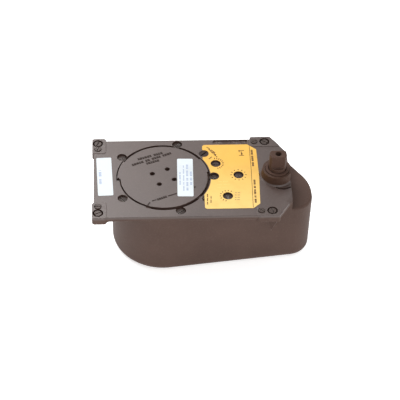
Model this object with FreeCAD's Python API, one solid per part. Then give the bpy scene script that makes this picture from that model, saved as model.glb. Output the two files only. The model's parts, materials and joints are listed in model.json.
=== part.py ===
"""Concealed floor door closer, built as an assembly of named pieces (millimetres, +Z up).

The drawing is laid out from the spindle axis and the top of the plate; every piece is lowered by the
height of the spindle on saving, so the origin of the files is the centre of the spindle's top face.
"""
import FreeCAD, Part
import math
import os

V = FreeCAD.Vector
X_AXIS = V(1, 0, 0)
Z_AXIS = V(0, 0, 1)

# ---- driving dimensions -------------------------------------------------------------------------
CENTRES = 162.0            # spindle axis to spring axis
PLATE_T = 7.0              # top plate
PLATE_BACK = 77.8
PLATE_FRONT = -81.0
PLATE_LEFT = -261.0
END_X = 18.6               # end face of the plate beside the spindle
DIAGONAL_AT = (8.2, 65.1)  # a point on the sloping rear corner; the front corner mirrors it
DIAGONAL_SLOPE = -1.511

TUB_R = 73.2               # round end of the tub
WALL_AT = (20.0, 50.8)     # a point on the rear wall; the front wall mirrors it
TUB_DIAGONAL_OUT = 1.9     # how far the tub's sloping wall stands outside the plate's corner
NOSE_X = 50.5
FRONT_CORNER_R = 30.0
NOSE_R = 60.0
BACK_CORNER_R = 12.0
TUB_BOTTOM = -118.6
BOTTOM_FILLET = 12.5
LOBE_TOP = -18.0
LOBE_EDGE_R = 4.0
SHOULDER_R = 6.0           # rounding of the plate's front corner over the shoulder
SHOULDER_TOP = ((2.2, -73.8), (18.0, -50.3), (-35.0, -50.3))   # under the plate's front corner
SHOULDER_FOOT = (-10.0, -53.0, -62.0)
WALL = 6.0
FLOOR_TOP = -104.0
REBATE_TOP = -110.2
REBATE_INSET = 13.2
COVER_INSET = 13.5
COVER_TOP = -111.0
LEDGE_INSET = 21.0
COVER_SCREW_INSET = 17.6

EAR_BOTTOM = -11.3
EAR_TOP = 0.7
EAR_LEFT = (-263.3, -243.0)
EAR_RIGHT_X0 = -33.2
EAR_FRONT_X1 = -1.0
EAR_Y = (50.4, 82.2)
EAR_INNER_Y = (61.0, -60.6)  # inner edges of the right ears, back and front
HOLD_TIP = -14.6
HOLD_STUD_R = 4.0
HOLD_NECK_R = 3.4          # the neck keeps the screw captive in its ear
HOLD_X = (-254.9, -11.9)   # hold-down screws
HOLD_Y = 71.5
LEVEL_STEP_Y = 12.4        # levelling screw inboard of the left hold-down screws
LEVEL_STEP_X = 15.3        # and beside the right ones

SPINDLE_R = 12.25
SPINDLE_TOP = 41.4
FLATS = 16.0
FLATS_FROM = 20.7
SPINDLE_HOLE_R = 4.6
SPINDLE_HOLE_DEPTH = 22.0
LOWER_JOURNAL_R = 11.0
STUB_R = 9.0
BOSS_R = (22.5, 20.8)
BOSS_TOP = 13.4
BOSS_BOTTOM = -24.0
GLAND_R = 16.9
GLAND_BORE_R = 12.9
GLAND_TOP = 15.4
GLAND_SEAT_R = 17.5
BUSH_R = 16.2

DISC_R = 62.9
DISC_TOP = 0.7
HIGH_SECTORS = ((8.0, 33.0), (150.0, 181.0))    # where the rim of the disc comes close to the plate
HIGH_R = 65.0
LOW_SECTOR = (183.5, 249.0)                     # where it draws back behind the lip of the plate
LOW_R = 61.0
LOW_OFFSET = 1.8
LIP_SECTOR = (185.5, 246.0)
LIP_R = 63.0
LIP_OFFSET = 2.4
LIP_BOTTOM = -1.6
OFFSET_ANGLE = 275.0       # direction in which the low sector and the lip are off centre
LUG_AT = 33.0
LUG_OUTLINE = ((60.0, -5.0), (66.3, -2.5), (66.3, 2.5), (60.0, 5.0))
LUG_TOP = -2.2
FLANGE_R = 66.5
FLANGE_TOP = -5.6
OPENING_R = 67.0
LEDGE_Z = -8.0
COLLAR_R = 60.0
COLLAR_OUTER_R = 68.0
COLLAR_BOTTOM = -16.5
SPIGOT_R = 59.6
SPIGOT_BOTTOM = -13.0
CLAMP_COUNT = 5
CLAMP_CIRCLE_R = 72.0
CLAMP_SEAT_R = 7.3
CLAMP_HEAD_R = 6.5
CLAMP_HEAD_TOP = -2.9
CLAMP_BOTTOM = -12.0
CLAMP_SLOTS = (130.0, 40.0, 35.0, 130.0, 35.0)
SPANNER_R = 3.75
SPANNER_CIRCLE_R = 16.6
SPANNER_ANGLE = 68.4

VALVES = {"closing": (-85.9, 26.1), "latching": (-54.5, 1.8), "backcheck": (-72.4, -40.9)}
VALVE_WELL_R = 7.0
VALVE_HEAD_R = 5.9
VALVE_HEAD_Z = (-4.6, -1.9)
VALVE_STEM_R = 3.6
VALVE_BORE_R = 3.7
VALVE_GROOVE_R = 2.5
VALVE_TIP_Z = -27.0
VALVE_SLOTS = (12.0, 0.0, 100.0)
PLUGS = ((-102.2, 47.7), (-102.4, -45.0))
PLUG_R = 7.2

MODULE = 2.0
TEETH = 12
PRESSURE_ANGLE = math.radians(25.0)
PITCH_R = MODULE * TEETH / 2
BACKLASH = 0.25
RACK_HALF_Z = 8.5
GEAR_Z = -42.0             # height of the cylinder, rack and pinion
CYL_Y = -18.0
BORE_R = 20.0
PISTON_R = 19.93
PISTON_X = (-90.0, -64.0)
CHECK_Z = GEAR_Z - 14.3    # check ball in the piston
BLOCK_X = (-96.0, -30.0)
BLOCK_TOP = -17.0
WING_BOTTOM = -32.0
BARREL_R = 26.0
SLAB_Z = (-70.0, -58.0)
BLOCK_SCREWS = ((-70.0, 31.0), (-38.0, 30.0), (-22.0, -39.2), (2.0, -39.2))

CRANK_R = 32.0
CRANK_ANGLE = -150.0
CRANK_Z = (-85.0, -72.0)
LINK_Z = (-97.0, -87.5)
PIN_R = 6.0
PIN_BOTTOM = -100.0
DRUM_Z = (-84.0, -74.0)
DRUM_R = 50.0
POST_R = 8.0
POST_BOTTOM = -86.7
SPRING_R = 44.0
SPRING_WIRE_R = 4.5
SPRING_PITCH = 10.0
SPRING_TURNS = 5
SPRING_Z0 = -69.0

RUNNING = 0.05             # radial clearance of a running fit


# ---- shape helpers ------------------------------------------------------------------------------
def cyl(radius, z0, z1, at=(0.0, 0.0)):
    """Upright cylinder."""
    return Part.makeCylinder(radius, z1 - z0, V(at[0], at[1], z0))


def cyl_x(radius, x0, x1, y, z):
    """Cylinder along X."""
    return Part.makeCylinder(radius, x1 - x0, V(x0, y, z), X_AXIS)


def ring(outer, inner, z0, z1, at=(0.0, 0.0)):
    """Upright ring."""
    return cyl(outer, z0, z1, at).cut(cyl(inner, z0 - 1, z1 + 1, at))


def box(x, y, z):
    """Box from three (low, high) pairs."""
    return Part.makeBox(x[1] - x[0], y[1] - y[0], z[1] - z[0], V(x[0], y[0], z[0]))


def fuse(first, *others):
    """Union with the seams between coplanar faces removed."""
    return first.fuse(list(others)).removeSplitter()


def group(shapes):
    """Separate solids kept as one piece."""
    return Part.makeCompound(list(shapes))


def polar(radius, degrees, centre=(0.0, 0.0)):
    """Point at a radius and an angle from a centre."""
    a = math.radians(degrees)
    return (centre[0] + radius * math.cos(a), centre[1] + radius * math.sin(a))


def prism(points, z0, z1):
    """Straight-sided prism on a polygon."""
    wire = Part.makePolygon([V(x, y, z0) for x, y in points + points[:1]])
    return Part.Face(wire).extrude(V(0, 0, z1 - z0))


def corner(before, at, after, radius):
    """Start, middle and end of the arc that rounds a corner."""
    u = (before - at).normalize()
    w = (after - at).normalize()
    half = u.getAngle(w) / 2
    bisector = (u + w).normalize()
    reach = radius / math.tan(half)
    middle = at + bisector * (radius / math.sin(half) - radius)
    return at + u * reach, middle, at + w * reach


def rounded_prism(points, radii, z0, z1):
    """Prism on a polygon whose corners are rounded by the given radii."""
    pts = [V(x, y, z0) for x, y in points]
    count = len(pts)
    arcs = [corner(pts[i - 1], pts[i], pts[(i + 1) % count], radii[i]) for i in range(count)]
    edges = []
    for i, (start, middle, end) in enumerate(arcs):
        edges.append(Part.Arc(start, middle, end).toShape())
        following = arcs[(i + 1) % count][0]
        if (following - end).Length > 1e-4:
            edges.append(Part.makeLine(end, following))
    return Part.Face(Part.Wire(Part.__sortEdges__(edges))).extrude(V(0, 0, z1 - z0))


def rounded_box(x, y, z, radius):
    """Box with its upright edges rounded."""
    points = [(x[0], y[0]), (x[1], y[0]), (x[1], y[1]), (x[0], y[1])]
    return rounded_prism(points, [radius] * 4, z[0], z[1])


def arc_block(outer, inner, start, end, z, at):
    """Part of a ring between two angles."""
    sector = ring(outer, inner, z[0], z[1], at)
    reach = 2 * outer
    points = [at, polar(reach, start, at), polar(reach, (start + end) / 2, at), polar(reach, end, at)]
    return sector.common(prism(points, z[0], z[1]))


def torus_ring(major, minor, z, at=(0.0, 0.0)):
    """O-ring lying flat."""
    return Part.makeTorus(major, minor, V(at[0], at[1], z), Z_AXIS)


def slot(length, width, top, depth, at, degrees):
    """Cutter for a screwdriver slot."""
    cutter = Part.makeBox(length, width, depth + 1, V(-length / 2, -width / 2, top - depth))
    cutter.rotate(V(0, 0, 0), Z_AXIS, degrees)
    cutter.translate(V(at[0], at[1], 0))
    return cutter


def slotted_screw(head_r, head_z, shank_r, shank_bottom, slot_size, at, degrees):
    """Screw with a rounded, slotted head."""
    head = cyl(head_r, head_z[0], head_z[1], at)
    rim = [e for e in head.Edges if e.BoundBox.ZMin > head_z[1] - 0.01]
    head = head.makeFillet(0.6, rim)
    body = fuse(head, cyl(shank_r, shank_bottom, head_z[0], at))
    return body.cut(slot(4 * head_r, slot_size[0], head_z[1], slot_size[1], at, degrees))


def bar(a, b, half_width, eye_r, z0, z1):
    """Flat bar with a round eye at each end."""
    dx, dy = b[0] - a[0], b[1] - a[1]
    length = math.hypot(dx, dy)
    nx, ny = -dy / length * half_width, dx / length * half_width
    web = prism([(a[0] + nx, a[1] + ny), (a[0] - nx, a[1] - ny),
                 (b[0] - nx, b[1] - ny), (b[0] + nx, b[1] + ny)], z0, z1)
    return fuse(web, cyl(eye_r, z0, z1, a), cyl(eye_r, z0, z1, b))


# ---- plan of the tub ----------------------------------------------------------------------------
SPRING_AXIS = (-CENTRES, 0.0)


def diagonal_x(y):
    """X of the sloping rear corner at a given Y."""
    return DIAGONAL_AT[0] + (y - DIAGONAL_AT[1]) / DIAGONAL_SLOPE


def diagonal_line():
    """Outward normal angle and distance of the plate's sloping rear corner."""
    angle = math.atan2(1, -DIAGONAL_SLOPE)
    return angle, DIAGONAL_AT[0] * math.cos(angle) + DIAGONAL_AT[1] * math.sin(angle)


def tub_lines(inset):
    """Outward normal angle and distance of each wall, front wall first, counterclockwise."""
    px, py = WALL_AT[0] - SPRING_AXIS[0], WALL_AT[1] - SPRING_AXIS[1]
    back = math.atan2(py, px) + math.acos(TUB_R / math.hypot(px, py))
    reach = WALL_AT[0] * math.cos(back) + WALL_AT[1] * math.sin(back)
    diagonal, through = diagonal_line()
    lines = [(-back, reach), (0.0, NOSE_X), (diagonal, through + TUB_DIAGONAL_OUT), (back, reach),
             (math.pi, CENTRES + TUB_R)]
    return [(angle, distance - inset) for angle, distance in lines]


def meet(first, second):
    """Point where two wall lines cross."""
    (a, d), (b, e) = first, second
    det = math.sin(b - a)
    return ((d * math.sin(b) - e * math.sin(a)) / det, (e * math.cos(a) - d * math.cos(b)) / det)


def tub_prism(inset, z0, z1):
    """Prism on the plan of the tub, drawn in from its outer wall by an inset."""
    lines = tub_lines(inset)
    points = [meet(lines[i], lines[(i + 1) % 5]) for i in range(5)]
    radii = [FRONT_CORNER_R, NOSE_R, BACK_CORNER_R, TUB_R, TUB_R]
    return rounded_prism(points, [max(r - inset, 1.0) for r in radii], z0, z1)


def cover_screw_places():
    """Points along the ledge, half way between its edges."""
    around = [polar(TUB_R - COVER_SCREW_INSET, a, SPRING_AXIS) for a in (100, 140, 180, 220, 260)]
    lines = tub_lines(COVER_SCREW_INSET)
    straight = []
    for angle, distance in (lines[0], lines[3]):
        straight += [(x, (distance - x * math.cos(angle)) / math.sin(angle)) for x in (-110, -55, -4)]
    return around + straight + [(lines[1][1], -14.0)]


# ---- places -------------------------------------------------------------------------------------
def clamp_places():
    return [polar(CLAMP_CIRCLE_R, 360 / CLAMP_COUNT * i, SPRING_AXIS) for i in range(CLAMP_COUNT)]


def hold_places():
    return [(x, y) for x in HOLD_X for y in (-HOLD_Y, HOLD_Y)]


def level_places():
    left = [(HOLD_X[0], side * (HOLD_Y - LEVEL_STEP_Y)) for side in (-1, 1)]
    return left + [(HOLD_X[1] - LEVEL_STEP_X, side * HOLD_Y) for side in (-1, 1)]


# ---- body casting -------------------------------------------------------------------------------
def plate():
    end_y = DIAGONAL_AT[1] + DIAGONAL_SLOPE * (END_X - DIAGONAL_AT[0])
    points = [(PLATE_LEFT, PLATE_FRONT), (diagonal_x(-PLATE_FRONT), PLATE_FRONT), (END_X, -end_y),
              (END_X, end_y), (diagonal_x(PLATE_BACK), PLATE_BACK), (PLATE_LEFT, PLATE_BACK)]
    slab = rounded_prism(points, [3, 1, 1, 3, 4, 3], -PLATE_T, 0.0)
    return round_rim(slab, 0.0, 1.0)


def shoulder():
    """Wedge that swells from the front wall up to the plate's front corner."""
    a, b, c = [V(x, y, 0.0) for x, y in SHOULDER_TOP]
    foot = V(*SHOULDER_FOOT)
    sides = [(a, b, c), (a, b, foot), (b, c, foot), (c, a, foot)]
    faces = [Part.Face(Part.makePolygon(list(side) + [side[0]])) for side in sides]
    return Part.makeSolid(Part.makeShell(faces))


def round_rim(shape, top, radius):
    """Fillet along the edges that lie in the top face."""
    rim = [e for e in shape.Edges if e.BoundBox.ZMin > top - 0.01]
    return shape.makeFillet(radius, rim)


def ears():
    y0, y1 = EAR_Y
    z = (EAR_BOTTOM, EAR_TOP)
    inner_back, inner_front = EAR_INNER_Y
    made = [rounded_box(EAR_LEFT, y, z, 4.0) for y in ((y0, y1), (-y1, -y0))]
    made.append(rounded_box((EAR_RIGHT_X0, EAR_FRONT_X1), (-y1, inner_front), z, 3.0))
    points = [(EAR_RIGHT_X0, inner_back), (diagonal_x(inner_back), inner_back), (diagonal_x(y1), y1),
              (EAR_RIGHT_X0, y1)]
    made.append(rounded_prism(points, [3, 2, 4, 3], *z))
    return [round_rim(ear, EAR_TOP, 0.6) for ear in made] + [ear_web(y) for y in ((y0, y1), (-y1, -y0))]


def ear_web(y):
    """Slope from the underside of a left ear up to the plate."""
    inset = 3.0
    x0, x1 = EAR_LEFT[1] - 1.0, EAR_LEFT[1] + 7.0
    side, top = y[0] + inset, -PLATE_T + 0.2
    profile = [V(x0, side, EAR_BOTTOM), V(x1, side, top), V(x0, side, top)]
    web = Part.Face(Part.makePolygon(profile + profile[:1])).extrude(V(0, y[1] - y[0] - 2 * inset, 0))
    return web.common(box((-300, 0), (PLATE_FRONT + 1, PLATE_BACK - 1), (-20, 0)))


def tub():
    """Deep tub with rounded edges; only its part left of the end face rises to the plate."""
    low = tub_prism(0.0, TUB_BOTTOM, LOBE_TOP)
    low = low.makeFillet(BOTTOM_FILLET, [e for e in low.Edges if e.BoundBox.ZMax < TUB_BOTTOM + 0.01])
    low = round_rim(low, LOBE_TOP, LOBE_EDGE_R)
    high = tub_prism(0.0, LOBE_TOP - LOBE_EDGE_R - 1.0, 0.0)
    return fuse(low, high.cut(box((END_X, 60), (-90, 90), (-60, 5))))


def shoulder_cutter():
    """Rounds the plate's sloping front corner over the shoulder below it."""
    angle, distance = diagonal_line()
    centre = distance - SHOULDER_R
    length = (-40, 40)
    cutter = box(length, (centre, distance + 4), (-SHOULDER_R, 3))
    cutter = cutter.cut(cyl_x(SHOULDER_R, *length, centre, -SHOULDER_R))
    cutter.rotate(V(0, 0, 0), Z_AXIS, -math.degrees(angle) - 90)
    return cutter


def boss():
    wall = Part.makeCone(BOSS_R[0], BOSS_R[1], BOSS_TOP)
    foot = Part.makeCone(BOSS_R[0] + 1.6, BOSS_R[0] - 0.2, 1.6)
    return fuse(wall, foot).common(box((-40, END_X), (-40, 40), (0, BOSS_TOP)))


def cavity():
    """Space inside the walls, with the roof stepped down under the lobe."""
    room = tub_prism(WALL, FLOOR_TOP, -PLATE_T)
    return room.cut(box((END_X - WALL, 60), (-90, 90), (LOBE_TOP - WALL, 0)))


def inner_bosses():
    """Thickenings on the underside of the plate."""
    parts = [ring(COLLAR_OUTER_R, COLLAR_R, COLLAR_BOTTOM, -PLATE_T + 1, SPRING_AXIS),
             cyl(22.0, BOSS_BOTTOM, -PLATE_T + 1)]
    parts += [cyl(8.2, BLOCK_TOP, -PLATE_T + 1, p) for p in VALVES.values()]
    parts += [cyl(8.0, BLOCK_TOP, -PLATE_T + 1, p) for p in BLOCK_SCREWS]
    parts += [cyl(9.8, -12.0, -PLATE_T + 1, p) for p in PLUGS]
    parts += [cyl(6.0, CLAMP_BOTTOM - 0.8, -PLATE_T + 1, p) for p in clamp_places()]
    return parts


def body_holes():
    """Everything machined out of the casting."""
    cuts = [cyl(OPENING_R, LEDGE_Z, 2, SPRING_AXIS), cyl(COLLAR_R, -30, LEDGE_Z + 1, SPRING_AXIS),
            cyl(GLAND_SEAT_R, 1.0, 20), cyl(BUSH_R, -30, 2)]
    cuts += clamp_seats() + [cyl(3.0, CLAMP_BOTTOM, 0, p) for p in clamp_places()]
    for p in hold_places():
        cuts += [cyl(7.5, -5.5, 3, p), cyl(4.3, -20, 0, p)]
    for p in level_places():
        cuts += [cyl(4.7, -20, 3, p), cyl(5.5, -0.9, 3, p)]
    for p in VALVES.values():
        cuts += [cyl(VALVE_WELL_R, VALVE_HEAD_Z[0] - 0.3, 2, p), cyl(VALVE_BORE_R, -20, 0, p)]
    cuts += [cyl(PLUG_R, -20, 2, p) for p in PLUGS]
    cuts += [cyl(3.0, -30, -9.5, p) for p in BLOCK_SCREWS]
    return cuts


def face_reliefs():
    """Shallow pocket behind the label, the step beside the boss and a drilled spot by the label's edge."""
    pocket = fuse(box((-83.0, -37.0), (66.2, 76.2), (-2.0, 2)), cyl(5.0, -2.0, 2, (-83.0, 71.2)))
    step = arc_block(18.2, 15.2, -128.0, -48.0, (-3.0, 1.0), (6.8, -11.3))
    return [pocket, step, cyl(3.3, -5.0, 2, (-26.8, 2.0))]


def off_centre(distance):
    """Spring axis shifted towards the side where the rim of the disc draws back."""
    return polar(distance, OFFSET_ANGLE, SPRING_AXIS)


def opening_lip():
    """Thin lip of the plate that reaches over the low sector of the disc."""
    sector = arc_block(OPENING_R + 2, LIP_R - 4, *LIP_SECTOR, (LIP_BOTTOM, 0.0), SPRING_AXIS)
    return sector.cut([cyl(LIP_R, -5, 5, off_centre(LIP_OFFSET))] + clamp_seats())


def clamp_seats():
    return [cyl(CLAMP_SEAT_R, FLANGE_TOP - 0.2, 2, p) for p in clamp_places()]


def bottom_opening():
    cuts = [tub_prism(LEDGE_INSET, TUB_BOTTOM - 1, FLOOR_TOP + 1),
            tub_prism(REBATE_INSET, TUB_BOTTOM - 1, REBATE_TOP)]
    return cuts + [cyl(2.0, REBATE_TOP - 1, FLOOR_TOP + 1, p) for p in cover_screw_places()]


def body_casting():
    corner_piece = fuse(plate(), tub(), shoulder()).cut(shoulder_cutter())
    outer = fuse(corner_piece, boss(), *ears())
    inside = fuse(outer.cut(cavity()), *inner_bosses())
    machined = inside.cut(body_holes() + face_reliefs() + bottom_opening())
    return fuse(machined, opening_lip())


# ---- bottom cover -------------------------------------------------------------------------------
def bottom_cover():
    cover = tub_prism(COVER_INSET, TUB_BOTTOM, COVER_TOP)
    cuts = []
    for p in cover_screw_places():
        cuts += [cyl(3.8, TUB_BOTTOM - 1, TUB_BOTTOM + 3.6, p), cyl(2.3, TUB_BOTTOM, COVER_TOP + 1, p)]
    return cover.cut(cuts)


def bottom_gasket():
    sheet = tub_prism(COVER_INSET, COVER_TOP, REBATE_TOP)
    cuts = [tub_prism(LEDGE_INSET, COVER_TOP - 1, REBATE_TOP + 1)]
    return sheet.cut(cuts + [cyl(2.3, COVER_TOP - 1, REBATE_TOP + 1, p) for p in cover_screw_places()])


def bottom_screws():
    """Socket screws, heads down."""
    made = []
    for p in cover_screw_places():
        head = cyl(3.5, TUB_BOTTOM + 0.4, TUB_BOTTOM + 3.6, p)
        socket = hex_prism(1.5, TUB_BOTTOM - 1, TUB_BOTTOM + 2.4, p)
        made.append(fuse(head, cyl(2.0, TUB_BOTTOM + 3.6, FLOOR_TOP, p)).cut(socket))
    return group(made)


def hex_prism(half_across, z0, z1, at=(0.0, 0.0)):
    radius = half_across / math.cos(math.pi / 6)
    return prism([polar(radius, 60 * i, at) for i in range(6)], z0, z1)


# ---- disc, clamp screws and what hangs under the disc --------------------------------------------
def disc_top():
    """Upper part of the disc, with a rim that follows the high and low sectors."""
    z = (FLANGE_TOP, DISC_TOP)
    high = [arc_block(HIGH_R, 50.0, *sector, z, SPRING_AXIS) for sector in HIGH_SECTORS]
    rim = fuse(cyl(DISC_R, *z, SPRING_AXIS), *high)
    low = arc_block(HIGH_R + 4, 50.0, *LOW_SECTOR, z, SPRING_AXIS)
    return rim.cut(low.cut(cyl(LOW_R, -20, 5, off_centre(LOW_OFFSET))))


def tension_disc():
    c = SPRING_AXIS
    parts = [disc_top(), cyl(FLANGE_R, LEDGE_Z, FLANGE_TOP, c),
             ring(SPIGOT_R, 52.0, SPIGOT_BOTTOM, LEDGE_Z, c), cyl(20.0, -24.0, LEDGE_Z, c),
             arc_block(49.5, 38.5, 1.0, 14.0, (-23.5, LEDGE_Z), c)]
    for i in range(CLAMP_COUNT):
        angle = LUG_AT + 360 / CLAMP_COUNT * i
        rib = box((18, 53), (-3, 3), (SPIGOT_BOTTOM, LEDGE_Z))
        rib.rotate(V(0, 0, 0), Z_AXIS, angle + 30)
        rib.translate(V(c[0], c[1], 0))
        outline = [polar(radius, angle + turn, c) for radius, turn in LUG_OUTLINE]
        parts += [rib, prism(outline, FLANGE_TOP, LUG_TOP)]
    disc = fuse(*parts)
    cuts = [cyl(POST_R, -30, -2.0, c), ring(SPIGOT_R + 1, 57.7, -11.6, -9.4, c)]
    cuts += [cyl(SPANNER_R, DISC_TOP - 6, 3, polar(SPANNER_CIRCLE_R, SPANNER_ANGLE + 90 * i, c))
             for i in range(4)]
    return disc.cut(cuts)


def disc_seal():
    return torus_ring(58.75, 1.05, -10.5, SPRING_AXIS)


def clamp_screws():
    made = []
    for i, p in enumerate(clamp_places()):
        made.append(slotted_screw(CLAMP_HEAD_R, (FLANGE_TOP, CLAMP_HEAD_TOP), 3.0, CLAMP_BOTTOM,
                                  (1.7, 1.5), p, CLAMP_SLOTS[i]))
    return group(made)


def centre_post():
    groove = ring(POST_R + 1, POST_R - 1.2, -86.2, -84.9, SPRING_AXIS)
    return cyl(POST_R, POST_BOTTOM, -2.0, SPRING_AXIS).cut(groove)


def snap_ring(outer, inner, z0, z1, at):
    """Open retaining ring."""
    gap = box((at[0], at[0] + 2 * outer), (at[1] - 1.5, at[1] + 1.5), (z0 - 1, z1 + 1))
    return ring(outer, inner, z0, z1, at).cut(gap)


def torsion_spring():
    """Coil of round wire; its two ends push on the lugs of the drum and the disc."""
    helix = Part.makeHelix(SPRING_PITCH, SPRING_PITCH * SPRING_TURNS, SPRING_R)
    profile = Part.Wire(Part.makeCircle(SPRING_WIRE_R, V(SPRING_R, 0, 0), V(0, 1, 0)))
    coil = Part.Wire(helix).makePipeShell([profile], True, True)
    coil.translate(V(SPRING_AXIS[0], SPRING_AXIS[1], SPRING_Z0))
    return coil


# ---- drum, link and crank -----------------------------------------------------------------------
def crank_pin_place(centre):
    return polar(CRANK_R, CRANK_ANGLE, centre)


def spring_drum():
    c = SPRING_AXIS
    pin = crank_pin_place(c)
    drum = fuse(cyl(DRUM_R, DRUM_Z[0], DRUM_Z[1], c), cyl(18.0, DRUM_Z[1], -58.0, c),
                arc_block(49.5, 38.5, -14.0, -1.0, (DRUM_Z[1], -64.4), c),
                cyl(10.0, -87.2, DRUM_Z[0], pin))
    holes = [cyl(7.0, -90, -70, polar(34.0, CRANK_ANGLE + 72 * i, c)) for i in range(1, 5)]
    return drum.cut(holes + [cyl(11.0, -90, -50, c), cyl(PIN_R, -90, -70, pin)])


def link_pin(centre):
    """Pin pressed into the eye above, grooved for its ring below the link."""
    at = crank_pin_place(centre)
    pin = cyl(PIN_R, PIN_BOTTOM, DRUM_Z[1], at)
    return pin.cut(ring(PIN_R + 1, PIN_R - 1.0, -98.9, -97.5, at))


def link_pin_ring(centre):
    return snap_ring(9.5, PIN_R - 1.0, -98.8, -97.6, crank_pin_place(centre))


def link():
    a, b = crank_pin_place(SPRING_AXIS), crank_pin_place((0.0, 0.0))
    body = bar(a, b, 7.0, 12.0, *LINK_Z)
    return body.cut([cyl(8.5, -110, -80, p) for p in (a, b)])


def link_bush(centre, clearance):
    return ring(8.5, PIN_R + clearance, LINK_Z[0], LINK_Z[1], crank_pin_place(centre))


def crank_key():
    return box((6.5, 11.5), (-2.5, 2.5), (CRANK_Z[0] + 1, CRANK_Z[1] - 0.5))


def crank_arm():
    pin = crank_pin_place((0.0, 0.0))
    arm = fuse(bar((0.0, 0.0), pin, 9.0, 11.0, CRANK_Z[0], CRANK_Z[1]),
               cyl(17.0, CRANK_Z[0], CRANK_Z[1]), cyl(10.0, -87.2, CRANK_Z[0], pin))
    keyway = box((6.5, 11.5), (-2.5, 2.5), (-90, -70))
    return arm.cut([cyl(STUB_R, -90, -70), cyl(PIN_R, -90, -70, pin), keyway])


def crank_screw():
    head = hex_prism(5.0, -90.8, -86.5)
    return fuse(head, cyl(3.0, -86.5, -74.0))


# ---- spindle, pinion and rack -------------------------------------------------------------------
def involute_half_angle(radius):
    """Half the angle a pinion tooth covers at a radius."""
    base = PITCH_R * math.cos(PRESSURE_ANGLE)
    pressure = math.acos(min(1.0, base / radius))
    half_at_pitch = (math.pi * MODULE / 2 - BACKLASH) / (2 * PITCH_R)
    return half_at_pitch + involute(PRESSURE_ANGLE) - involute(pressure)


def involute(angle):
    return math.tan(angle) - angle


def pinion(z0, z1):
    """Involute gear with a tooth space facing the rack."""
    root, tip = PITCH_R - 1.25 * MODULE, PITCH_R + MODULE
    base = PITCH_R * math.cos(PRESSURE_ANGLE)
    steps = 5
    radii = [base + (tip - base) * i / steps for i in range(steps + 1)]
    points = []
    for tooth in range(TEETH):
        mid = -math.pi / 2 + math.pi / TEETH * (2 * tooth + 1)
        low = involute_half_angle(base)
        flank = [(root, low)] + [(r, involute_half_angle(r)) for r in radii]
        points += [(r * math.cos(mid - h), r * math.sin(mid - h)) for r, h in flank]
        points += [(r * math.cos(mid + h), r * math.sin(mid + h)) for r, h in reversed(flank)]
    return prism(points, z0, z1)


def spindle():
    top = cyl(SPINDLE_R, GEAR_Z + 9.0, SPINDLE_TOP)
    half = FLATS / 2
    top = top.cut([box((-20, 20), y, (FLATS_FROM, 50)) for y in ((half, 20), (-20, -half))])
    top = round_rim(top, SPINDLE_TOP, 1.8)
    shaft = fuse(top, pinion(GEAR_Z - 9.0, GEAR_Z + 9.0),
                 cyl(LOWER_JOURNAL_R, CRANK_Z[1] + 0.1, GEAR_Z - 9.0),
                 cyl(STUB_R, CRANK_Z[0] + 0.3, CRANK_Z[1] + 0.1))
    cuts = [cyl(SPINDLE_HOLE_R, SPINDLE_TOP - SPINDLE_HOLE_DEPTH, 50), cyl(3.0, -90, -74.0), crank_key()]
    return shaft.cut(cuts)


def rack_tooth(x):
    """Straight-sided rack tooth centred on x."""
    pitch_half = (math.pi * MODULE / 2 - BACKLASH) / 2
    slope = math.tan(PRESSURE_ANGLE)
    low, high = -PITCH_R - 1.25 * MODULE - 0.2, -PITCH_R + MODULE
    wide = pitch_half + (-PITCH_R - low) * slope
    narrow = pitch_half - (high + PITCH_R) * slope
    z = (GEAR_Z - RACK_HALF_Z, GEAR_Z + RACK_HALF_Z)
    return prism([(x - wide, low), (x + wide, low), (x + narrow, high), (x - narrow, high)], *z)


def piston():
    z = (GEAR_Z - RACK_HALF_Z, GEAR_Z + RACK_HALF_Z)
    head = cyl_x(PISTON_R, PISTON_X[0], PISTON_X[1], CYL_Y, GEAR_Z)
    neck = box((PISTON_X[1], -36.5), (-25.0, -10.0), z)
    rail = box((-36.5, 9.5), (-25.0, -PITCH_R - 1.25 * MODULE), z)
    teeth = [rack_tooth(math.pi * MODULE * k) for k in range(-5, 2)]
    body = fuse(head, neck, rail, *teeth)
    groove = cyl_x(PISTON_R + 1, -72.1, -69.4, CYL_Y, GEAR_Z).cut(cyl_x(17.5, -73, -69, CYL_Y, GEAR_Z))
    pocket = cyl_x(3.4, PISTON_X[0] - 1, -82.0, CYL_Y, CHECK_Z)
    return body.cut([groove, pocket, cyl_x(2.0, -83, -60, CYL_Y, CHECK_Z)])


def piston_ring():
    return cyl_x(BORE_R - 0.03, -72.0, -69.5, CYL_Y, GEAR_Z).cut(cyl_x(17.6, -73, -69, CYL_Y, GEAR_Z))


def check_ball():
    return Part.makeSphere(3.0, V(-84.35, CYL_Y, CHECK_Z))


def check_retainer():
    return cyl_x(3.4, PISTON_X[0], -88.5, CYL_Y, CHECK_Z).cut(cyl_x(1.6, -91, -88, CYL_Y, CHECK_Z))


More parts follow.
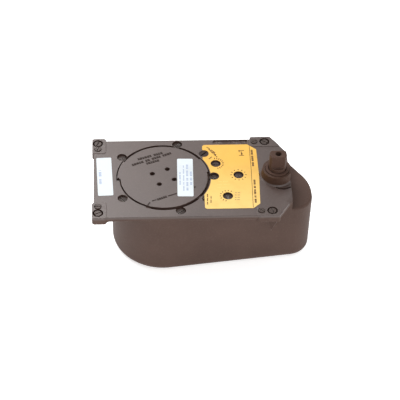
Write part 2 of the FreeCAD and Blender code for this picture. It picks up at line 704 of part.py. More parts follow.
# ---- hydraulic block ----------------------------------------------------------------------------
def hydraulic_block():
    barrel = cyl_x(BARREL_R, BLOCK_X[0], BLOCK_X[1], CYL_Y, GEAR_Z)
    wing = box(BLOCK_X, (-48.0, 38.0), (WING_BOTTOM, BLOCK_TOP))
    web = box((-34.0, 12.0), (-33.6, -25.4), (SLAB_Z[0], BLOCK_TOP))
    slab = rounded_box((-44.0, 20.0), (-33.6, 20.0), SLAB_Z, 4.0)
    lugs = [cyl(6.5, WING_BOTTOM, BLOCK_TOP, p) for p in BLOCK_SCREWS[2:]]
    body = fuse(barrel, wing, web, slab, *lugs)
    cuts = [cyl_x(BORE_R, BLOCK_X[0] - 1, BLOCK_X[1] + 1, CYL_Y, GEAR_Z), cyl(15.5, -80, -50)]
    cuts += [cyl(VALVE_BORE_R, -28.0, 0, p) for p in VALVES.values()]
    cuts += [cyl(3.2, -45, 0, p) for p in BLOCK_SCREWS]
    cuts.append(box((-120, 30), (-60, 60), (BLOCK_TOP, 0)))
    return body.cut(cuts + oil_ways())


def oil_ways():
    """Drilled ways from the valve bores to the cylinder."""
    (x1, y1), (x2, y2), (x3, y3) = (VALVES[k] for k in ("closing", "latching", "backcheck"))
    across = Part.makeCylinder(1.6, y1 + 5.0, V(x1, -5.0, -27.4), V(0, 1, 0))
    down = cyl(1.6, GEAR_Z, -27, (x2, y2))
    front = cyl(1.6, GEAR_Z, -27, (x3, y3))
    inward = Part.makeCylinder(1.6, 5.0, V(x3, y3, GEAR_Z), V(0, 1, 0))
    return [across, down, front, inward]


def block_screws():
    made = []
    for p in BLOCK_SCREWS:
        head = cyl(5.0, WING_BOTTOM - 6.0, WING_BOTTOM, p).cut(hex_prism(2.5, -50, WING_BOTTOM - 3, p))
        made.append(fuse(head, cyl(3.0, WING_BOTTOM, -10.0, p)))
    return group(made)


def end_plug():
    plug = cyl_x(BORE_R, BLOCK_X[0], -91.5, CYL_Y, GEAR_Z)
    groove = cyl_x(BORE_R + 1, -94.7, -92.7, CYL_Y, GEAR_Z).cut(cyl_x(18.2, -96, -92, CYL_Y, GEAR_Z))
    socket = hex_prism(5.0, 0, 3)
    socket.rotate(V(0, 0, 0), V(0, 1, 0), 90)
    socket.translate(V(BLOCK_X[0] - 0.5, CYL_Y, GEAR_Z))
    return plug.cut([groove, socket])


def end_plug_seal():
    return cyl_x(BORE_R, -94.6, -92.8, CYL_Y, GEAR_Z).cut(cyl_x(18.3, -96, -92, CYL_Y, GEAR_Z))


def thrust_balls():
    count, circle = 14, 14.4
    return group(Part.makeSphere(1.95, V(*polar(circle, 360 / count * i), -54.5)) for i in range(count))


# ---- valves, plugs, screws ----------------------------------------------------------------------
def valve_stem(at, degrees, pin_drive):
    """Regulating needle; the head has a slot, or two holes for a pin spanner."""
    low, top = VALVE_HEAD_Z
    tip = Part.makeCone(1.2, VALVE_STEM_R, 3.3, V(at[0], at[1], VALVE_TIP_Z))
    head = round_rim(cyl(VALVE_HEAD_R, low, top, at), top, 0.5)
    stem = fuse(head, cyl(VALVE_STEM_R, VALVE_TIP_Z + 3.3, low, at), tip)
    groove = ring(VALVE_STEM_R + 1, VALVE_GROOVE_R, -13.1, -11.1, at)
    drive = [slot(20, 1.6, top, 1.5, at, degrees)]
    if pin_drive:
        drive = [cyl(0.95, top - 2.0, 2, (at[0] + side * 2.4, at[1])) for side in (-1, 1)]
    return stem.cut([groove] + drive)


def filler_plugs():
    made = []
    for at, degrees in zip(PLUGS, (45, 20)):
        made.append(cyl(PLUG_R, -10.0, -0.6, at).cut(slot(20, 2.0, -0.6, 2.0, at, degrees)))
    return group(made)


def hold_down_screws():
    made = []
    for i, p in enumerate(hold_places()):
        screw = slotted_screw(5.4, (-5.5, 0.6), HOLD_NECK_R, EAR_BOTTOM, (1.7, 1.8), p, 25 + 40 * i)
        made.append(fuse(screw, cyl(HOLD_STUD_R, HOLD_TIP, EAR_BOTTOM, p)))
    return group(made)


def levelling_screws():
    made = []
    for i, p in enumerate(level_places()):
        pin = cyl(4.7, -11.0, 1.8, p)
        pin = pin.makeFillet(0.8, [e for e in pin.Edges if e.BoundBox.ZMin > 1.7])
        made.append(pin.cut(slot(20, 1.5, 1.8, 1.6, p, 70 * i)))
    return group(made)


# ---- label and stickers -------------------------------------------------------------------------
def adjustment_label():
    points = [(-105.8, -66.0), (-38.0, -66.0), (-28.0, -57.0), (-25.2, 0.0), (-25.2, 55.0),
              (-37.5, 66.0), (-103.6, 66.0)]
    sheet = rounded_prism(points, [3.5, 2, 2, 60, 2, 2, 4.5], 0.0, 0.4)
    cuts = [cyl(OPENING_R + 1.0, -1, 2, SPRING_AXIS), cyl(CLAMP_SEAT_R + 0.4, -1, 2, clamp_places()[0])]
    cuts += [cyl(VALVE_WELL_R + 0.3, -1, 2, p) for p in VALVES.values()]
    cuts.append(cyl(PLUG_R + 0.3, -1, 2, PLUGS[0]))
    return sheet.cut(cuts)


def sticker(centre, size, top, thickness, degrees):
    half_x, half_y = size[0] / 2, size[1] / 2
    sheet = rounded_box((-half_x, half_x), (-half_y, half_y), (top, top + thickness), 2.0)
    sheet.rotate(V(0, 0, 0), Z_AXIS, degrees)
    sheet.translate(V(centre[0], centre[1], 0))
    return sheet


# ---- all pieces ---------------------------------------------------------------------------------
def pieces():
    made = {
        "body_casting": body_casting(),
        "bottom_cover": bottom_cover(),
        "bottom_cover_gasket": bottom_gasket(),
        "bottom_cover_screws": bottom_screws(),
        "tension_disc": tension_disc(),
        "disc_seal": disc_seal(),
        "clamp_screws": clamp_screws(),
        "centre_post": centre_post(),
        "centre_post_ring": snap_ring(12.0, POST_R - 1.2, -86.1, -85.0, SPRING_AXIS),
        "torsion_spring": torsion_spring(),
        "spring_drum": spring_drum(),
        "drum_bush": ring(11.0, POST_R + RUNNING, DRUM_Z[0], -58.0, SPRING_AXIS),
        "drum_pin": link_pin(SPRING_AXIS),
        "drum_pin_ring": link_pin_ring(SPRING_AXIS),
        "link": link(),
        "link_bush_drum": link_bush(SPRING_AXIS, 0.3),
        "link_bush_crank": link_bush((0.0, 0.0), RUNNING),
        "crank_arm": crank_arm(),
        "crank_key": crank_key(),
        "crank_pin": link_pin((0.0, 0.0)),
        "crank_pin_ring": link_pin_ring((0.0, 0.0)),
        "crank_washer": ring(12.0, 3.2, -86.5, CRANK_Z[0]),
        "crank_screw": crank_screw(),
        "spindle": spindle(),
        "spindle_bush_upper": ring(BUSH_R, SPINDLE_R + RUNNING, BOSS_BOTTOM, 1.0),
        "spindle_bush_lower": ring(15.5, LOWER_JOURNAL_R + RUNNING, SLAB_Z[0], SLAB_Z[1]),
        "spindle_seal": ring(GLAND_SEAT_R, SPINDLE_R + 0.1, 1.5, 6.5),
        "gland_ring": round_rim(ring(GLAND_R, GLAND_BORE_R, 6.5, GLAND_TOP), GLAND_TOP, 0.6),
        "thrust_race_upper": ring(17.5, LOWER_JOURNAL_R, -52.5, -51.0),
        "thrust_balls": thrust_balls(),
        "thrust_race_lower": ring(17.5, 11.6, SLAB_Z[1], -56.5),
        "hydraulic_block": hydraulic_block(),
        "block_screws": block_screws(),
        "end_plug": end_plug(),
        "end_plug_seal": end_plug_seal(),
        "piston": piston(),
        "piston_ring": piston_ring(),
        "check_ball": check_ball(),
        "check_retainer": check_retainer(),
        "filler_plugs": filler_plugs(),
        "hold_down_screws": hold_down_screws(),
        "levelling_screws": levelling_screws(),
        "adjustment_label": adjustment_label(),
        "plate_sticker": sticker((-245.3, 2.4), (21.5, 78.0), 0.0, 0.3, 2.0),
        "disc_sticker": sticker((-130.9, -2.4), (22.6, 77.5), DISC_TOP, 0.3, -1.6),
    }
    for i, (name, at) in enumerate(VALVES.items()):
        made["valve_" + name] = valve_stem(at, VALVE_SLOTS[i], name == "latching")
        made["valve_seal_" + name] = torus_ring(3.1, 0.58, -12.1, at)
    return made


def save(name, shape):
    """Write one piece with the origin at the centre of the spindle's top face."""
    placed = shape.copy()
    placed.translate(V(0, 0, -SPINDLE_TOP))
    placed.exportStep("parts/" + name + ".step")
    print(name, "solids", len(placed.Solids), "valid", placed.isValid(), "volume", round(placed.Volume))


os.makedirs("parts", exist_ok=True)
for piece_name, piece_shape in pieces().items():
    save(piece_name, piece_shape)
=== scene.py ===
"""Look of the concealed floor closer: a finish for every piece, printed and raised marks, and the studio.

Lengths in the tables are millimetres in the plan of the drawing, whose origin is the spindle axis at the top
of the plate. at() turns them into metres in the shared frame, whose origin is the spindle's top face.
"""
import json
import math

import bmesh
import bpy
from mathutils import Matrix, Vector


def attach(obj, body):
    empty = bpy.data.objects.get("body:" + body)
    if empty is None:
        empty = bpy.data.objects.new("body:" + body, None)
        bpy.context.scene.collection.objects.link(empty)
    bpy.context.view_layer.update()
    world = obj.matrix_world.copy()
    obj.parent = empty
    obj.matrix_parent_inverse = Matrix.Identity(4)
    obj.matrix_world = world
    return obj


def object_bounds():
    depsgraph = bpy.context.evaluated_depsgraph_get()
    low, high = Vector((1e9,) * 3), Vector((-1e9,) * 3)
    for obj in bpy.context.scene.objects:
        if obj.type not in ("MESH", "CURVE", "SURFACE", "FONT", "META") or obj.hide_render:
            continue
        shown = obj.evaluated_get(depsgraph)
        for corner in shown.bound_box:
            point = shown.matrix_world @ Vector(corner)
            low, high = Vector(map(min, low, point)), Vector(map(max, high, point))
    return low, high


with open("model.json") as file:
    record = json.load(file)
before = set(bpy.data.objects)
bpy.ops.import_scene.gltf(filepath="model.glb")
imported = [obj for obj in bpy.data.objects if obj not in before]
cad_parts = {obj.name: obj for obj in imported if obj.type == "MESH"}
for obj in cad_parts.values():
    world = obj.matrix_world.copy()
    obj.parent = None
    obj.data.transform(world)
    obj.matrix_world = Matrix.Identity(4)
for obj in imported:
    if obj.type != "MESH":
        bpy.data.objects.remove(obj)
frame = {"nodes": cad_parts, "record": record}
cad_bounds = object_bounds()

MM = 0.001
PLATE_Z = -0.0414          # top of the plate in the shared frame
RUBBED_EDGE = 0.0006       # width of the paint rubbed off an edge, metres
WHITE = (1.0, 1.0, 1.0)


def at(x, y, z=0.0):
    """Drawing millimetres to a point in the shared frame."""
    return Vector((x * MM, y * MM, z * MM + PLATE_Z))


# ---- node helpers -------------------------------------------------------------------------------
class Graph:
    """A material's node tree, with short calls for the nodes used here."""

    def __init__(self, name):
        self.material = bpy.data.materials.new(name)
        self.material.use_nodes = True
        self.tree = self.material.node_tree
        self.shader = self.tree.nodes["Principled BSDF"]
        self.place = self.add("ShaderNodeTexCoord").outputs["Object"]

    def add(self, kind, **values):
        """New node; values are set on its properties or, failing that, its input sockets."""
        node = self.tree.nodes.new(kind)
        for key, value in values.items():
            if hasattr(node, key):
                setattr(node, key, value)
            else:
                node.inputs[key.replace("_", " ")].default_value = value
        return node

    def join(self, output, socket):
        self.tree.links.new(output, socket)

    def coordinate(self, axis):
        """X, Y or Z in the shared frame, in metres."""
        split = self.add("ShaderNodeSeparateXYZ")
        self.join(self.place, split.inputs["Vector"])
        return split.outputs[axis]

    def noise(self, scale, detail=3.0, stretch=(1.0, 1.0, 1.0)):
        """Noise value of a feature size given as features per metre."""
        mapping = self.add("ShaderNodeMapping")
        mapping.inputs["Scale"].default_value = stretch
        self.join(self.place, mapping.inputs["Vector"])
        node = self.add("ShaderNodeTexNoise", Scale=scale, Detail=detail)
        self.join(mapping.outputs["Vector"], node.inputs["Vector"])
        return node.outputs["Fac"]

    def ramp(self, factor, stops):
        """Colour ramp over a factor; stops are (position, colour)."""
        node = self.add("ShaderNodeValToRGB")
        points = node.color_ramp.elements
        while len(points) < len(stops):
            points.new(0.5)
        for point, (position, colour) in zip(points, stops):
            point.position = position
            point.color = (*colour, 1.0)
        self.join(factor, node.inputs["Fac"])
        return node.outputs["Color"]

    def span(self, factor, low, high, start=0.3, end=0.7):
        """A factor spread over a range of values."""
        node = self.add("ShaderNodeMapRange")
        for name, value in (("From Min", start), ("From Max", end), ("To Min", low), ("To Max", high)):
            node.inputs[name].default_value = value
        self.join(factor, node.inputs["Value"])
        return node.outputs["Result"]

    def times(self, first, second):
        """Product of two factors."""
        node = self.add("ShaderNodeMath", operation="MULTIPLY")
        self.join(first, node.inputs[0])
        self.join(second, node.inputs[1])
        return node.outputs["Value"]

    def mix(self, factor, first, second):
        """Blend of two colours, each a tuple or another node's output."""
        node = self.add("ShaderNodeMix", data_type="RGBA")
        for value, socket in ((factor, node.inputs[0]), (first, node.inputs[6]), (second, node.inputs[7])):
            if isinstance(value, tuple):
                socket.default_value = (*value, 1.0)
            else:
                self.join(value, socket)
        return node.outputs[2]

    def edges(self, width):
        """1 on sharp edges and 0 on open faces."""
        bevel = self.add("ShaderNodeBevel", Radius=width)
        bevel.samples = 6
        flat = self.add("ShaderNodeNewGeometry").outputs["Normal"]
        dot = self.add("ShaderNodeVectorMath", operation="DOT_PRODUCT")
        self.join(bevel.outputs["Normal"], dot.inputs[0])
        self.join(flat, dot.inputs[1])
        return self.span(dot.outputs["Value"], 1.0, 0.0, 0.90, 0.995)

    def bump(self, height, strength, distance, under=None):
        """Relief from a height, on top of another relief if one is given."""
        node = self.add("ShaderNodeBump", Strength=strength, Distance=distance)
        self.join(height, node.inputs["Height"])
        if under is not None:
            self.join(under, node.inputs["Normal"])
        return node.outputs["Normal"]


# ---- finishes -----------------------------------------------------------------------------------
def enamel(name, dark, light, rough, worn, gloss, rubbed=RUBBED_EDGE):
    """Satin enamel: mottled, slightly orange-peeled, rubbed thin on the edges."""
    g = Graph(name)
    cloud = g.noise(14.0, 4.0)
    speck = g.noise(420.0, 2.0)
    body = g.ramp(cloud, [(0.30, dark), (0.72, light)])
    dusty = g.mix(g.span(speck, 0.0, 0.22, 0.52, 0.75), body, tuple(min(1.0, 1.5 * c) for c in light))
    rub = g.noise(90.0, 5.0)
    wear = g.times(g.edges(rubbed), g.span(rub, 0.0, 0.8, 0.42, 0.62))
    g.join(g.mix(wear, dusty, worn), g.shader.inputs["Base Color"])
    g.join(g.span(g.noise(55.0, 5.0), *rough), g.shader.inputs["Roughness"])
    coarse = g.bump(g.noise(260.0, 3.0), 0.10, 0.0008)
    g.join(g.bump(g.noise(1100.0, 2.0), 0.06, 0.0003, coarse), g.shader.inputs["Normal"])
    g.shader.inputs["Specular IOR Level"].default_value = gloss
    return g.material


def casting_enamel(name):
    """Enamel: glossy on the machined top, rougher and browner on the faces as cast, and a darker brown
    painted in as shade on what stands above the plate round the spindle.
    """
    g = Graph(name)
    height = g.coordinate("Z")
    machined = g.span(height, 0.0, 1.0, PLATE_Z - 5.0 * MM, PLATE_Z - 0.6 * MM)
    # Mask of what stands more than about 2 mm above the plate: it carries the painted shade below, and takes
    # the gloss off.
    raised = g.span(height, 0.0, 1.0, PLATE_Z + 1.2 * MM, PLATE_Z + 2.0 * MM)
    cloud = g.noise(14.0, 4.0)
    cast = g.ramp(cloud, [(0.30, (0.065, 0.034, 0.024)), (0.72, (0.086, 0.047, 0.035))])
    top = g.ramp(cloud, [(0.30, (0.050, 0.027, 0.021)), (0.72, (0.070, 0.040, 0.032))])
    # Painted shade: a darker brown for what stands above the plate round the spindle.
    boss_painted_shade = g.ramp(cloud, [(0.30, (0.050, 0.022, 0.012)), (0.72, (0.070, 0.033, 0.020))])
    speck = g.span(g.noise(420.0, 2.0), 0.0, 0.25, 0.52, 0.75)
    body = g.mix(speck, g.mix(raised, g.mix(machined, cast, top), boss_painted_shade), (0.115, 0.075, 0.060))
    wear = g.times(g.edges(RUBBED_EDGE), g.span(g.noise(90.0, 5.0), 0.0, 0.8, 0.42, 0.62))
    g.join(g.mix(wear, body, (0.24, 0.19, 0.165)), g.shader.inputs["Base Color"])
    shine = g.times(machined, g.span(raised, 1.0, 0.0, 0.0, 1.0))
    g.join(g.span(shine, 0.64, 0.42, 0.0, 1.0), g.shader.inputs["Roughness"])
    g.join(g.span(shine, 0.32, 0.85, 0.0, 1.0), g.shader.inputs["Specular IOR Level"])
    grain = g.times(g.noise(260.0, 3.0), g.span(machined, 1.0, 0.45, 0.0, 1.0))
    coarse = g.bump(grain, 0.16, 0.0008)
    g.join(g.bump(g.noise(1100.0, 2.0), 0.06, 0.0003, coarse), g.shader.inputs["Normal"])
    return g.material


def metal(name, dark, light, rough, scale, stretch=(1.0, 1.0, 1.0), pits=0.15, stain=None):
    """Bare or plated metal with tool marks along one direction and darker grime."""
    g = Graph(name)
    marks = g.noise(scale, 4.0, stretch)
    grime = g.noise(60.0, 6.0)
    body = g.ramp(marks, [(0.28, dark), (0.70, light)])
    dirt = stain or tuple(0.35 * c for c in dark)
    g.join(g.mix(g.span(grime, 0.0, 0.7, 0.52, 0.74), body, dirt), g.shader.inputs["Base Color"])
    g.join(g.span(grime, *rough), g.shader.inputs["Roughness"])
    fine = g.bump(marks, pits, 0.0002)
    g.join(g.bump(g.noise(700.0, 3.0), 0.08, 0.0002, fine), g.shader.inputs["Normal"])
    g.shader.inputs["Metallic"].default_value = 0.9
    return g.material


def soft(name, dark, light, rough, scale, depth):
    """Rubber, gasket sheet and other dull sheet stock."""
    g = Graph(name)
    grain = g.noise(scale, 5.0)
    g.join(g.ramp(grain, [(0.3, dark), (0.7, light)]), g.shader.inputs["Base Color"])
    g.join(g.span(g.noise(90.0), *rough), g.shader.inputs["Roughness"])
    g.join(g.bump(grain, 0.3, depth), g.shader.inputs["Normal"])
    return g.material


def foil(name, deep, pale, rough):
    """Printed foil or paper: a gradual shift of colour along Y that is painted light, pale at the front (-Y)
    and deep at the back, faint smudges and a gentle ripple.
    """
    g = Graph(name)
    # Painted light: the colour runs from the pale one at the front (-Y) to the deep one at the back.
    painted_light_along_y = g.span(g.coordinate("Y"), 1.0, 0.0, -0.06, 0.03)
    smudge = g.noise(45.0, 5.0)
    body = g.mix(painted_light_along_y, deep, pale)
    grimy = tuple(0.72 * c for c in deep)
    g.join(g.mix(g.span(smudge, 0.0, 0.35, 0.5, 0.75), body, grimy), g.shader.inputs["Base Color"])
    g.join(g.span(g.noise(120.0), *rough), g.shader.inputs["Roughness"])
    g.join(g.bump(g.noise(70.0, 2.0), 0.12, 0.0008), g.shader.inputs["Normal"])
    return g.material


def ink(name, dark, light):
    """Print: uneven and slightly broken."""
    g = Graph(name)
    g.join(g.ramp(g.noise(900.0, 4.0), [(0.35, dark), (0.75, light)]), g.shader.inputs["Base Color"])
    g.join(g.span(g.noise(300.0), 0.45, 0.65), g.shader.inputs["Roughness"])
    g.join(g.bump(g.noise(1500.0, 2.0), 0.1, 0.0001), g.shader.inputs["Normal"])
    g.shader.inputs["Specular IOR Level"].default_value = 0.2
    return g.material


def painted_finishes():
    """Brown enamels of the casting, the spindle and the screws."""
    return {
        "bronze_paint": casting_enamel("bronze_paint"),
        "spindle_steel": enamel("spindle_steel", (0.060, 0.032, 0.023), (0.088, 0.050, 0.038),
                                rough=(0.50, 0.64), worn=(0.26, 0.21, 0.18), gloss=0.12),
        "blackened_steel": enamel("blackened_steel", (0.034, 0.018, 0.013), (0.060, 0.034, 0.026),
                                  rough=(0.30, 0.48), worn=(0.40, 0.34, 0.30), gloss=0.5),
        "worn_steel": enamel("worn_steel", (0.016, 0.010, 0.008), (0.060, 0.038, 0.031),
                             rough=(0.34, 0.50), worn=(0.80, 0.74, 0.70), gloss=0.22, rubbed=0.0007),
    }


def metal_finishes():
    """Bare and plated metals inside and underneath."""
    along = (1.0, 12.0, 12.0)
    turned = (1.0, 1.0, 14.0)
    return {
        "zinc_steel": metal("zinc_steel", (0.42, 0.42, 0.40), (0.66, 0.66, 0.62), (0.25, 0.42), 130.0),
        "ground_steel": metal("ground_steel", (0.46, 0.46, 0.46), (0.70, 0.70, 0.69), (0.16, 0.32), 160.0,
                              turned),
        "spring_steel": metal("spring_steel", (0.09, 0.09, 0.10), (0.20, 0.20, 0.21), (0.3, 0.5), 200.0,
                              along),
        "dark_steel": metal("dark_steel", (0.12, 0.12, 0.125), (0.27, 0.26, 0.26), (0.35, 0.55), 180.0,
                            along),
        "bronze": metal("bronze", (0.50, 0.29, 0.11), (0.74, 0.48, 0.22), (0.25, 0.42), 160.0, turned,
                        stain=(0.16, 0.08, 0.03)),
        "cast_iron": metal("cast_iron", (0.10, 0.10, 0.10), (0.21, 0.20, 0.20), (0.5, 0.72), 320.0, pits=0.6),
    }


def sheet_finishes():
    """Rubber, gasket sheet, the label's foil and the stickers' paper."""
    return {
        "rubber_seal": soft("rubber_seal", (0.010, 0.010, 0.010), (0.028, 0.027, 0.026), (0.5, 0.75), 500.0,
                            0.0003),
        "gasket": soft("gasket", (0.16, 0.12, 0.085), (0.27, 0.21, 0.15), (0.7, 0.9), 700.0, 0.0004),
        "yellow_label": foil("yellow_label", (0.80, 0.45, 0.068), (0.87, 0.58, 0.17), (0.40, 0.55)),
        "white_label": foil("white_label", (0.66, 0.71, 0.74), (0.68, 0.73, 0.75), (0.42, 0.58)),
    }


def finishes():
    """One finish for each material slot of the record."""
    return {**painted_finishes(), **metal_finishes(), **sheet_finishes()}


def paint_frame(looks):
    """Every CAD node takes the finish of its slot."""
    for part in frame["record"]["subparts"]:
        node = frame["nodes"][part["node"]]
        node.data.materials.clear()
        node.data.materials.append(looks[part["material_slot"]])


# ---- printed and raised marks -------------------------------------------------------------------
class Marks:
    """Collects small slabs into one mesh."""

    def __init__(self, base, height):
        self.mesh = bmesh.new()
        self.base = base
        self.height = height

    def slab(self, outline):
        """Thin prism on a flat outline of drawing points, counterclockwise."""
        low = [self.mesh.verts.new(at(x, y, self.base)) for x, y in outline]
        high = [self.mesh.verts.new(at(x, y, self.base + self.height)) for x, y in outline]
        self.mesh.faces.new(high)
        self.mesh.faces.new(low[::-1])
        for i, corner in enumerate(low):
            j = (i + 1) % len(outline)
            self.mesh.faces.new((corner, low[j], high[j], high[i]))

    def stroke(self, start, end, width):
        """Straight bar from one point to another."""
        a, b = Vector(start), Vector(end)
        side = (b - a).normalized().orthogonal() * (width / 2)
        self.slab([a - side, b - side, b + side, a + side] if side.cross(b - a) < 0
                  else [a + side, b + side, b - side, a - side])

    def line(self, points, width):
        """Bars from point to point."""
        for start, end in zip(points, points[1:]):
            self.stroke(start, end, width)

    def ticks(self, centre, radii, angles, width):
        """Short strokes pointing at a centre."""
        for degrees in angles:
            a = math.radians(degrees)
            ends = [(centre[0] + r * math.cos(a), centre[1] + r * math.sin(a)) for r in radii]
            self.stroke(*ends, width)

    def blocks(self, start, end, height, pattern):
        """Row of letter-sized blocks; a digit of the pattern is a block's relative width, a dot a space."""
        a, b = Vector(start), Vector(end)
        along = (b - a).normalized()
        widths = [int(c) if c != "." else 2 for c in pattern]
        unit = (b - a).length / sum(w + 0.7 for w in widths)
        x = 0.0
        for c, w in zip(pattern, widths):
            if c != ".":
                middle = a + along * (x + w * unit / 2)
                rise = Vector((-along.y, along.x)) * (height / 2)
                self.stroke(middle - rise, middle + rise, w * unit)
            x += (w + 0.7) * unit

    def finish(self, name, body, material):
        """The collected slabs as one piece that rides a body."""
        data = bpy.data.meshes.new(name)
        bmesh.ops.recalc_face_normals(self.mesh, faces=self.mesh.faces)
        self.mesh.to_mesh(data)
        self.mesh.free()
        data.materials.append(material)
        piece = bpy.data.objects.new(name, data)
        bpy.context.scene.collection.objects.link(piece)
        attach(piece, body)
        return piece


LABEL_TOP = 0.4
PRINT = 0.04               # height of print over its sheet
TICK_WIDTH = 1.2
DIALS = (                  # valve's place, the ticks' inner and outer radius, their angles
    ((-85.9, 26.1), (9.4, 12.0), range(-75, 110, 17)),
    ((-54.5, 1.8), (9.4, 11.6), range(-150, 211, 30)),
    ((-72.4, -40.9), (9.4, 11.6), range(60, 260, 24)),
)
STRIP_LINE = ((-34.8, 64.0), (-35.6, 10.0), (-38.4, -65.0))
STRIP_LINE_WIDTH = 0.7
LABEL_ROWS = (             # start, end, letter height, pattern
    ((-32.0, 54.0), (-32.2, 19.0), 2.8, "23232.32323.2323"),
    ((-32.6, -9.0), (-34.2, -56.0), 2.8, "3223.23.3232.22.323"),
    ((-101.0, -36.6), (-102.0, -58.0), 1.7, "2323.2322.323"),
    ((-96.2, -41.0), (-97.0, -55.0), 1.5, "232.2322"),
    ((-97.0, 61.5), (-85.0, 48.5), 1.6, "232.2323"),
    ((-94.4, 56.9), (-83.8, 43.7), 1.6, "232.2323"),
    ((-91.8, 52.3), (-82.6, 38.9), 1.6, "232.2323"),
    ((-95.0, 36.0), (-90.0, 40.5), 1.6, "232"),
)
FINE_ROWS = tuple(((-62.0 - 0.4 * i, -35.0 - 4.6 * i), (-54.5 - 0.5 * i, -35.0 - 4.6 * i), 1.8, "23.232")
                  for i in range(4))
PALE_ROWS = (
    ((-84.0, -12.0), (-70.0, -11.2), 1.2, "232.3223"),
    ((-86.0, -18.0), (-68.0, -17.2), 1.2, "232.3223"),
    ((-86.0, -24.0), (-72.0, -23.2), 1.2, "232.3223"),
)


def label_rows(name, rows, material):
    """Rows of blank letters on the yellow label."""
    marks = Marks(LABEL_TOP, PRINT)
    for row in rows:
        marks.blocks(*row)
    return marks.finish(name, "housing", material)


def label_print(material):
    """Dial ticks, the strip's line, rows of blank letters and a swing symbol on the yellow label."""
    marks = Marks(LABEL_TOP, PRINT)
    for centre, radii, angles in DIALS:
        marks.ticks(centre, radii, angles, TICK_WIDTH)
    marks.line(STRIP_LINE, STRIP_LINE_WIDTH)
    for row in LABEL_ROWS:
        marks.blocks(*row)
    swing_symbol(marks, (-51.4, 42.0))
    return marks.finish("label_print", "housing", material)


def swing_symbol(marks, corner):
    """Two rails, a leaf between them and an arrow on the leaf: stands for the way the door swings."""
    x, y = corner
    marks.stroke((x + 0.4, y + 0.5), (x + 7.8, y + 0.5), 1.1)
    marks.stroke((x, y + 11.0), (x + 8.2, y + 11.0), 1.1)
    marks.stroke((x + 1.0, y + 11.0), (x + 1.0, y + 7.6), 1.1)
    marks.stroke((x + 4.6, y + 0.5), (x + 4.6, y + 8.4), 1.1)
    marks.stroke((x + 1.0, y + 8.0), (x + 5.1, y + 8.0), 0.8)
    marks.slab([(x + 2.6, y + 3.2), (x + 6.6, y + 3.2), (x + 4.6, y + 5.6)])


DISC_TOP = 0.7
SINK = 0.05                # how far cast marks reach into the face below them
RAISED = 0.55              # height of cast marks
POCKET_FLOOR = -2.0        # of the shallow pocket behind the label
POCKET_ROWS = (
    ((-83.0, 73.0), (-40.0, 73.0), 2.2, "2323.23232.3232.23.2323"),
    ((-83.0, 69.2), (-40.0, 69.2), 2.2, "323.2323.23.32323.2323"),
)
DISC_ROWS = (
    ((-197.5, 36.6), (-161.1, 50.1), 3.6, "232332.3223"),
    ((-205.9, 24.7), (-148.7, 49.3), 3.6, "23323.23.3232.2332"),
    ((-185.4, 27.3), (-166.7, 34.4), 3.6, "232323"),
    ((-172.0, -46.8), (-158.0, -40.6), 3.2, "23232"),
)
ARROW_STROKES = (          # hook, then the two lengths of the shaft: start, end, width
    ((-185.4, -57.5), (-182.3, -51.9), 1.6),
    ((-179.3, -49.4), (-173.2, -47.1), 1.2),
    ((-156.8, -39.9), (-144.2, -35.0), 1.2),
)
ARROW_TAIL = ((-119.4, -25.2), (-116.4, -22.0), (-119.4, -21.6))


def pocket_marks(material):
    """Two cast rows of blocks on the floor of the pocket behind the label."""
    marks = Marks(POCKET_FLOOR - SINK, RAISED)
    for row in POCKET_ROWS:
        marks.blocks(*row)
    return marks.finish("pocket_marks", "housing", material)


def disc_marks(material):
    """Cast rows of blocks and the long arrow that shows which way to turn the disc."""
    marks = Marks(DISC_TOP - SINK, RAISED)
    for row in DISC_ROWS:
        marks.blocks(*row)
    for stroke in ARROW_STROKES:
        marks.stroke(*stroke)
    marks.slab(ARROW_TAIL)
    return marks.finish("disc_marks", "tension_disc_body", material)


STICKER_THICKNESS = 0.3
PLATE_STICKER = ((-245.3, 2.4), 2.0)       # centre, and turn in degrees
DISC_STICKER = ((-130.9, -2.4), -1.6)
PLATE_STICKER_ROWS = (     # offset across the sticker, start and end along it, letter height, pattern
    (-6.4, 0.5, 14.0, 3.8, "323.1"),
    (-6.4, -15.2, -4.7, 3.4, "2323"),
)
DISC_STICKER_ROWS = (
    (-7.4, -15.6, 11.0, 2.0, "2323.2323.23"),
    (-2.3, -27.6, 25.0, 1.8, "3232.23.23232.2323.23"),
    (2.8, -27.0, 27.0, 2.8, "32.232.23.3223.323"),
    (8.2, -15.6, 12.5, 3.0, "32.32.323"),
)


def sticker_print(name, body, sticker, top, rows, material):
    """Rows of blank letters along a sticker."""
    centre, turn = sticker
    marks = Marks(top, PRINT)
    a = math.radians(turn)
    along, across = Vector((-math.sin(a), math.cos(a))), Vector((math.cos(a), math.sin(a)))
    middle = Vector(centre)
    for offset, start, end, height, pattern in rows:
        base = middle + across * offset
        marks.blocks(base + along * start, base + along * end, height, pattern)
    return marks.finish(name, body, material)


def add_marks(looks):
    """All print, and the marks that stand out of the casting and the disc."""
    dark = ink("dark_ink", (0.050, 0.022, 0.012), (0.12, 0.055, 0.028))
    grey = ink("grey_ink", (0.34, 0.22, 0.11), (0.50, 0.34, 0.17))
    pale = ink("pale_ink", (0.88, 0.57, 0.17), (0.90, 0.62, 0.22))
    blue = ink("blue_ink", (0.36, 0.42, 0.56), (0.48, 0.54, 0.66))
    label_print(dark)
    label_rows("label_fine_print", FINE_ROWS, grey)
    label_rows("label_pale_print", PALE_ROWS, pale)
    # The raised cast marks in the pocket take the dark steel finish as painted shade of the recess.
    pocket_marks(looks["blackened_steel"])
    # The raised cast marks on the disc are coloured near black as painted shade, not as print.
    disc_marks(ink("disc_marks_painted_shade", (0.022, 0.012, 0.009), (0.040, 0.024, 0.018)))
    sticker_print("plate_sticker_print", "housing", PLATE_STICKER, STICKER_THICKNESS,
                  PLATE_STICKER_ROWS, blue)
    sticker_print("disc_sticker_print", "tension_disc_body", DISC_STICKER, DISC_TOP + STICKER_THICKNESS,
                  DISC_STICKER_ROWS, blue)


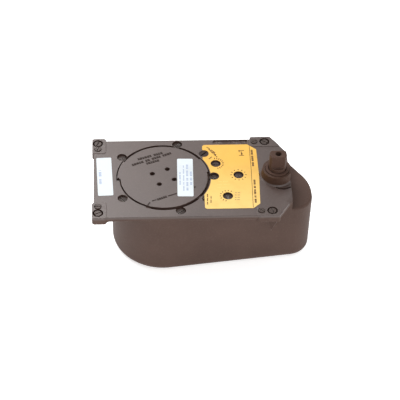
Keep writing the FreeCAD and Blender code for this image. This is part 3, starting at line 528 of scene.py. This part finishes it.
# ---- studio -------------------------------------------------------------------------------------
def floor():
    """Pale floor under the part, with a faint grain and a glow that keeps its shadows light."""
    g = Graph("studio_floor")
    g.join(g.ramp(g.noise(3.0, 2.0), [(0.3, (0.93, 0.93, 0.93)), (0.7, (0.95, 0.95, 0.95))]),
           g.shader.inputs["Base Color"])
    g.shader.inputs["Roughness"].default_value = 0.9
    g.shader.inputs["Emission Color"].default_value = (*WHITE, 1.0)
    g.shader.inputs["Emission Strength"].default_value = 0.55
    low, reach = cad_bounds[0].z, 6.0
    corners = [(-reach, -reach, low), (reach, -reach, low), (reach, reach, low), (-reach, reach, low)]
    data = bpy.data.meshes.new("studio_floor")
    data.from_pydata(corners, [], [(0, 1, 2, 3)])
    data.materials.append(g.material)
    plane = bpy.data.objects.new("studio_floor", data)
    bpy.context.scene.collection.objects.link(plane)


def surround():
    """White surround, darker towards the left (-X)."""
    world = bpy.data.worlds.new("studio_surround")
    world.use_nodes = True
    tree = world.node_tree
    place = tree.nodes.new("ShaderNodeTexCoord")
    split = tree.nodes.new("ShaderNodeSeparateXYZ")
    level = tree.nodes.new("ShaderNodeMapRange")
    for name, value in (("From Min", -0.9), ("From Max", 0.4), ("To Min", 0.25), ("To Max", 0.85)):
        level.inputs[name].default_value = value
    tree.links.new(place.outputs["Generated"], split.inputs["Vector"])
    tree.links.new(split.outputs["X"], level.inputs["Value"])
    tree.links.new(level.outputs["Result"], tree.nodes["Background"].inputs["Strength"])
    tree.nodes["Background"].inputs["Color"].default_value = (*WHITE, 1.0)
    bpy.context.scene.world = world


def area_light(name, place, aim, size, power):
    """Rectangular lamp facing a point; metres and watts."""
    data = bpy.data.lights.new(name, "AREA")
    data.shape = "RECTANGLE"
    data.size, data.size_y = size
    data.energy = power
    lamp = bpy.data.objects.new(name, data)
    lamp.location = place
    lamp.rotation_mode = "QUATERNION"
    lamp.rotation_quaternion = (Vector(aim) - Vector(place)).to_track_quat("-Z", "Y")
    bpy.context.scene.collection.objects.link(lamp)


def lights():
    """Big soft source over the back left, a weaker one in front, and a bright surround."""
    middle_of_part = (-0.11, 0.0, -0.08)
    area_light("key_light", (-0.75, 0.75, 1.15), middle_of_part, (1.3, 1.0), 22.0)
    area_light("front_light", (0.25, -1.5, 0.9), middle_of_part, (1.4, 0.8), 7.0)
    surround()


CAMERA_PLACE = (-0.22235, -1.49737, 1.37945)
CAMERA_DEGREES = (4.35, 44.35, 2.16)       # azimuth, elevation, roll
CAMERA_LENS = 130.5                        # millimetres, on a 36 mm sensor


def camera():
    """From the front and a little to the left, 44 degrees above the plate, with a long lens."""
    azimuth, elevation, roll = (math.radians(a) for a in CAMERA_DEGREES)
    data = bpy.data.cameras.new("main_camera")
    data.lens = CAMERA_LENS
    data.sensor_width = 36.0
    data.dof.use_dof = False
    turn = (Matrix.Rotation(-azimuth, 3, "Z") @ Matrix.Rotation(math.pi / 2 - elevation, 3, "X")
            @ Matrix.Rotation(roll, 3, "Z"))
    viewer = bpy.data.objects.new("main_camera", data)
    viewer.location = CAMERA_PLACE
    viewer.rotation_mode = "QUATERNION"
    viewer.rotation_quaternion = turn.to_quaternion()
    bpy.context.scene.collection.objects.link(viewer)
    bpy.context.scene.camera = viewer


finish_for_slot = finishes()
paint_frame(finish_for_slot)
add_marks(finish_for_slot)
floor()
lights()
camera()
bpy.context.scene.view_settings.view_transform = "Standard"
